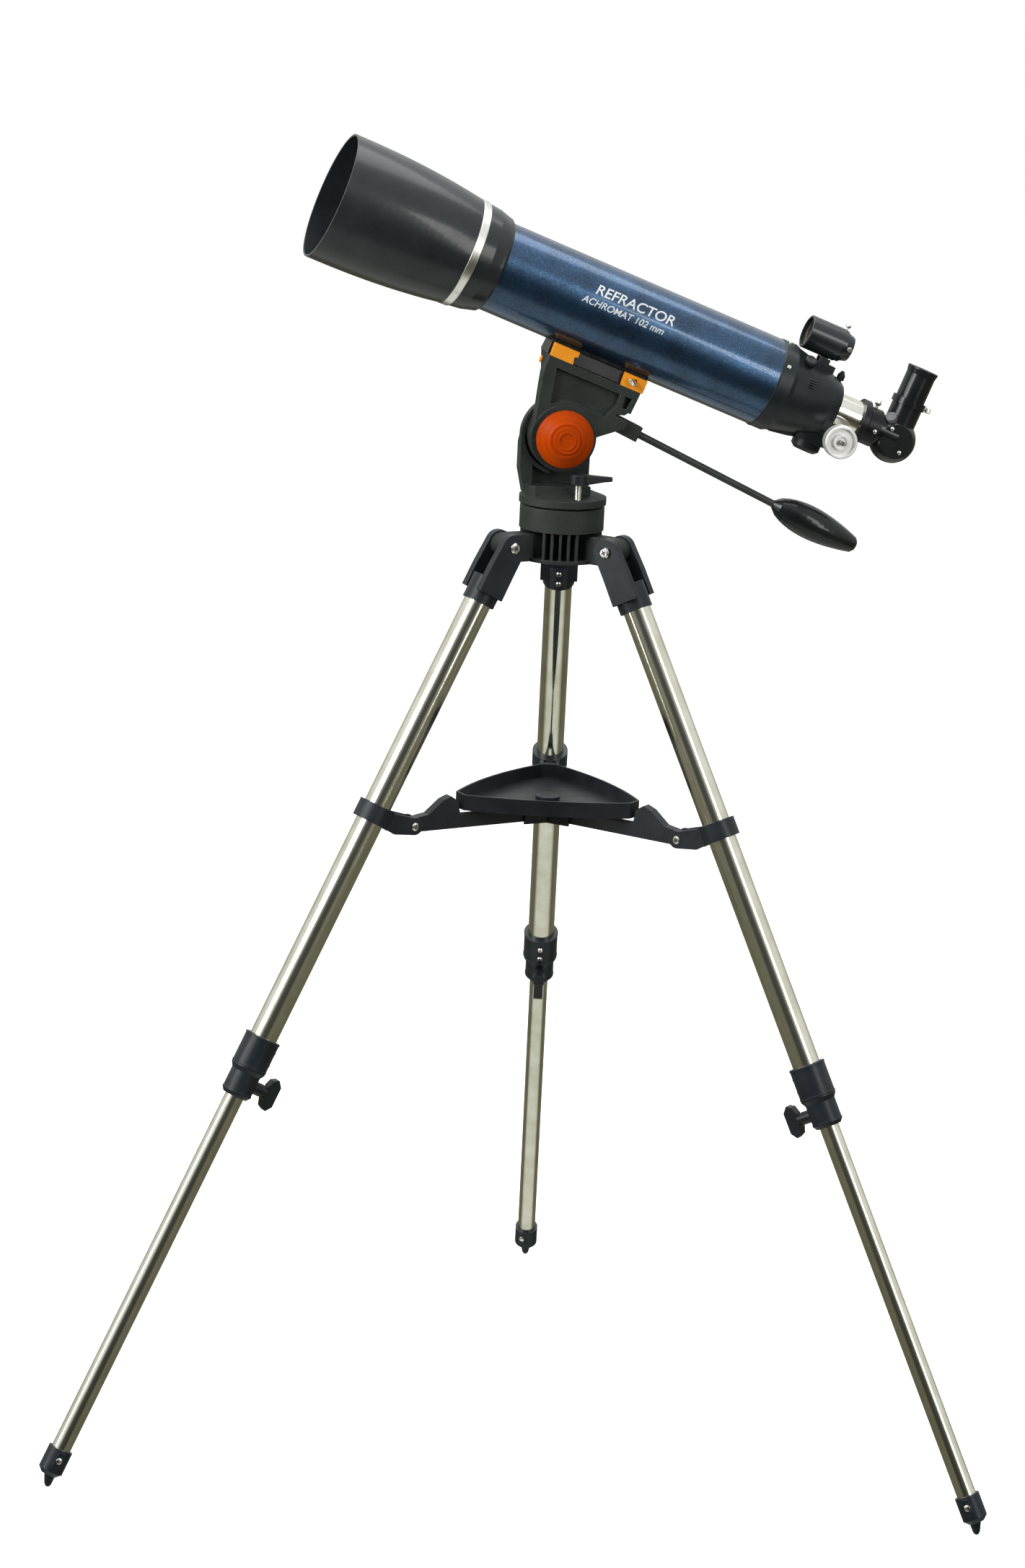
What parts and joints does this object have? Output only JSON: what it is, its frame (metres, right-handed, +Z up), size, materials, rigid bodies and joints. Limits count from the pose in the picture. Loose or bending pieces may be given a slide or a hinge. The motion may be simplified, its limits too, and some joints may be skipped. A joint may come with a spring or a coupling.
{
  "type": "refractor telescope",
  "caption": "Refractor telescope with dew shield, rack focuser, diagonal, eyepiece and finder on an alt-azimuth head with pan handle and a folding tripod with tray.",
  "frame": {"origin": "on the floor, under the azimuth axis", "axes": "+Z up along the azimuth axis; +Y towards the rear leg; the telescope points to -X and a little to -Y at rest"},
  "size_m": [1.064, 0.9252, 1.5022],
  "materials": {
    "casting": "matt textured die-cast, dark grey-green",
    "fasteners": "bright chrome",
    "black_plastic": "satin black moulding",
    "bracket_plastic": "satin blue-black moulding",
    "orange_knob": "satin orange-red moulding",
    "orange_jaws": "satin orange",
    "handle_rod": "satin dark grey",
    "gloss_black": "gloss black",
    "anodised_black": "black anodised",
    "navy_paint": "gloss metallic navy paint over aluminium",
    "shield_plastic": "satin charcoal",
    "silver_trim": "satin silver",
    "coated_glass": "coated optical glass",
    "housing_plastic": "satin black moulding",
    "chrome_tube": "bright chrome",
    "knob_metal": "turned and polished",
    "finder_black": "satin-gloss black",
    "steel_upper": "polished stainless",
    "steel_lower": "polished stainless"
  },
  "bodies": {
    "tripod": {"hub": "casting", "hub_bolts": "fasteners"},
    "leg_back": {"leg_bracket_back": "bracket_plastic", "leg_tube_back": "steel_upper", "leg_clamp_back": "bracket_plastic", "brace_collar_back": "bracket_plastic", "leg_screws_back": "fasteners"},
    "knob_back": {"clamp_knob_back": "black_plastic"},
    "lower_leg_back": {"leg_lower_back": "steel_lower", "foot_back": "bracket_plastic"},
    "arm_back": {"brace_arm_back": "black_plastic"},
    "leg_left": {"leg_bracket_left": "bracket_plastic", "leg_tube_left": "steel_upper", "leg_clamp_left": "bracket_plastic", "brace_collar_left": "bracket_plastic", "leg_screws_left": "fasteners"},
    "knob_left": {"clamp_knob_left": "black_plastic"},
    "lower_leg_left": {"leg_lower_left": "steel_lower", "foot_left": "bracket_plastic"},
    "arm_left": {"brace_arm_left": "black_plastic"},
    "leg_right": {"leg_bracket_right": "bracket_plastic", "leg_tube_right": "steel_upper", "leg_clamp_right": "bracket_plastic", "brace_collar_right": "bracket_plastic", "leg_screws_right": "fasteners"},
    "knob_right": {"clamp_knob_right": "black_plastic"},
    "lower_leg_right": {"leg_lower_right": "steel_lower", "foot_right": "bracket_plastic"},
    "arm_right": {"brace_arm_right": "black_plastic"},
    "spreader": {"brace_hub": "black_plastic", "tray": "black_plastic"},
    "head": {"azimuth_base": "casting"},
    "azimuth_screw": {"azimuth_lock": "black_plastic"},
    "altitude_screw": {"altitude_knob": "orange_knob"},
    "cradle": {"saddle": "casting", "clamp_jaws": "orange_jaws"},
    "cradle_screw": {"saddle_lock": "fasteners"},
    "pan_handle": {"pan_rod": "handle_rod", "pan_grip": "gloss_black"},
    "optical_tube": {"dovetail_bar": "anodised_black", "tube": "navy_paint", "lens_cell": "shield_plastic", "silver_ring": "silver_trim", "dew_shield": "shield_plastic", "objective_lens": "coated_glass", "focuser_housing": "housing_plastic", "housing_screws": "fasteners", "finder_bracket": "housing_plastic"},
    "focus_screw": {"focus_lock": "black_plastic"},
    "pinion": {"pinion_shaft": "fasteners", "focus_knobs": "knob_metal"},
    "focuser": {"drawtube": "chrome_tube", "visual_back": "anodised_black"},
    "back_screw": {"drawtube_screw": "fasteners"},
    "diagonal": {"diagonal_body": "gloss_black", "diagonal_prism": "coated_glass"},
    "barrel_screw": {"eyepiece_screw": "fasteners"},
    "ocular": {"eyepiece": "gloss_black", "eyepiece_lens": "coated_glass"},
    "finder": {"finder_tube": "finder_black"}
  },
  "joints": [
    {"name": "leg_fold_back", "type": "hinge", "parent": "tripod", "child": "leg_back", "pos_m": [0, 0.071, 1.049], "axis": [-1, 0, 0], "range_deg": [0, 8]},
    {"name": "leg_extend_back", "type": "slide", "parent": "leg_back", "child": "lower_leg_back", "axis": [0, 0.4564, -0.8898], "range_m": [-0.42, 0.014]},
    {"name": "clamp_screw_back", "type": "hinge", "parent": "leg_back", "child": "knob_back", "pos_m": [0, 0.37812, 0.45016], "axis": [0, -0.8898, -0.4564], "range_deg": [0, 270]},
    {"name": "leg_fold_left", "type": "hinge", "parent": "tripod", "child": "leg_left", "pos_m": [-0.06149, -0.0355, 1.049], "axis": [0.5, -0.866, 0], "range_deg": [0, 8]},
    {"name": "leg_extend_left", "type": "slide", "parent": "leg_left", "child": "lower_leg_left", "axis": [-0.3952, -0.2282, -0.8898], "range_m": [-0.42, 0.014]},
    {"name": "clamp_screw_left", "type": "hinge", "parent": "leg_left", "child": "knob_left", "pos_m": [-0.32747, -0.18906, 0.45016], "axis": [0.7706, 0.4449, -0.4564], "range_deg": [0, 270]},
    {"name": "leg_fold_right", "type": "hinge", "parent": "tripod", "child": "leg_right", "pos_m": [0.06149, -0.0355, 1.049], "axis": [0.5, 0.866, 0], "range_deg": [0, 8]},
    {"name": "leg_extend_right", "type": "slide", "parent": "leg_right", "child": "lower_leg_right", "axis": [0.3952, -0.2282, -0.8898], "range_m": [-0.42, 0.014]},
    {"name": "clamp_screw_right", "type": "hinge", "parent": "leg_right", "child": "knob_right", "pos_m": [0.32747, -0.18906, 0.45016], "axis": [-0.7706, 0.4449, -0.4564], "range_deg": [0, 270]},
    {"name": "spreader_lift", "type": "slide", "parent": "tripod", "child": "spreader", "axis": [0, 0, 1], "range_m": [0, 0.0962]},
    {"name": "arm_fold_back", "type": "hinge", "parent": "spreader", "child": "arm_back", "pos_m": [0, 0.026, 0.733], "axis": [-1, 0, 0], "range_deg": [0, 46]},
    {"name": "arm_fold_left", "type": "hinge", "parent": "spreader", "child": "arm_left", "pos_m": [-0.02252, -0.013, 0.733], "axis": [0.5, -0.866, 0], "range_deg": [0, 46]},
    {"name": "arm_fold_right", "type": "hinge", "parent": "spreader", "child": "arm_right", "pos_m": [0.02252, -0.013, 0.733], "axis": [0.5, 0.866, 0], "range_deg": [0, 46]},
    {"name": "azimuth_turn", "type": "hinge", "parent": "tripod", "child": "head", "pos_m": [0, 0, 1.095], "axis": [0, 0, 1], "continuous": true},
    {"name": "azimuth_lock_screw", "type": "hinge", "parent": "head", "child": "azimuth_screw", "pos_m": [0.01659, -0.038, 1.122], "axis": [0, 0, 1], "range_deg": [0, 270]},
    {"name": "altitude_tilt", "type": "hinge", "parent": "head", "child": "cradle", "pos_m": [-0.00783, -0.00165, 1.172], "axis": [-0.2062, 0.9785, 0], "range_deg": [-35, 33]},
    {"name": "altitude_lock_screw", "type": "hinge", "parent": "head", "child": "altitude_screw", "pos_m": [-0.00061, -0.0359, 1.172], "axis": [0.2062, -0.9785, 0], "range_deg": [0, 270]},
    {"name": "cradle_lock_screw", "type": "hinge", "parent": "cradle", "child": "cradle_screw", "pos_m": [0.0744, -0.0114, 1.23694], "axis": [0.2062, -0.9785, 0], "range_deg": [0, 270]},
    {"name": "handle_twist", "type": "hinge", "parent": "cradle", "child": "pan_handle", "pos_m": [0.05556, -0.00056, 1.18851], "axis": [0.8828, 0.186, -0.4313], "range_deg": [0, 270]},
    {"name": "dovetail_slide", "type": "slide", "parent": "cradle", "child": "optical_tube", "axis": [-0.9117, -0.1921, 0.3633], "range_m": [-0.008, 0.008]},
    {"name": "focus_travel", "type": "slide", "parent": "optical_tube", "child": "focuser", "axis": [0.9117, 0.1921, -0.3633], "range_m": [-0.01, 0.055]},
    {"name": "pinion_turn", "type": "hinge", "parent": "optical_tube", "child": "pinion", "pos_m": [0.30048, 0.06332, 1.17656], "axis": [-0.2062, 0.9785, 0], "range_deg": [-130, 705]},
    {"name": "focus_lock_screw", "type": "hinge", "parent": "optical_tube", "child": "focus_screw", "pos_m": [0.3073, 0.06476, 1.23985], "axis": [0.3554, 0.0749, 0.9317], "range_deg": [0, 270]},
    {"name": "back_lock_screw", "type": "hinge", "parent": "focuser", "child": "back_screw", "pos_m": [0.35323, 0.07444, 1.21296], "axis": [0.3554, 0.0749, 0.9317], "range_deg": [0, 270]},
    {"name": "diagonal_turn", "type": "hinge", "parent": "focuser", "child": "diagonal", "pos_m": [0.35219, 0.07422, 1.18547], "axis": [-0.9117, -0.1921, 0.3633], "continuous": true},
    {"name": "barrel_lock_screw", "type": "hinge", "parent": "diagonal", "child": "barrel_screw", "pos_m": [0.40705, 0.08578, 1.20869], "axis": [0.9117, 0.1921, -0.3633], "range_deg": [0, 270]},
    {"name": "eyepiece_pull", "type": "slide", "parent": "diagonal", "child": "ocular", "axis": [0.3554, 0.0749, 0.9317], "range_m": [0, 0.02]},
    {"name": "finder_tilt", "type": "hinge", "parent": "optical_tube", "child": "finder", "pos_m": [0.28786, 0.06066, 1.26391], "axis": [-0.2062, 0.9785, 0], "range_deg": [-1.5, 1.5]}
  ],
  "couplings": [
    {"joint": "leg_fold_left", "follows": "leg_fold_back", "ratio": 1},
    {"joint": "leg_fold_right", "follows": "leg_fold_back", "ratio": 1},
    {"joint": "spreader_lift", "follows": "leg_fold_back", "m_per_rad": 0.68612},
    {"joint": "arm_fold_back", "follows": "leg_fold_back", "ratio": 5.675},
    {"joint": "arm_fold_left", "follows": "leg_fold_back", "ratio": 5.675},
    {"joint": "arm_fold_right", "follows": "leg_fold_back", "ratio": 5.675},
    {"joint": "pinion_turn", "follows": "focus_travel", "rad_per_m": 222.22}
  ]
}
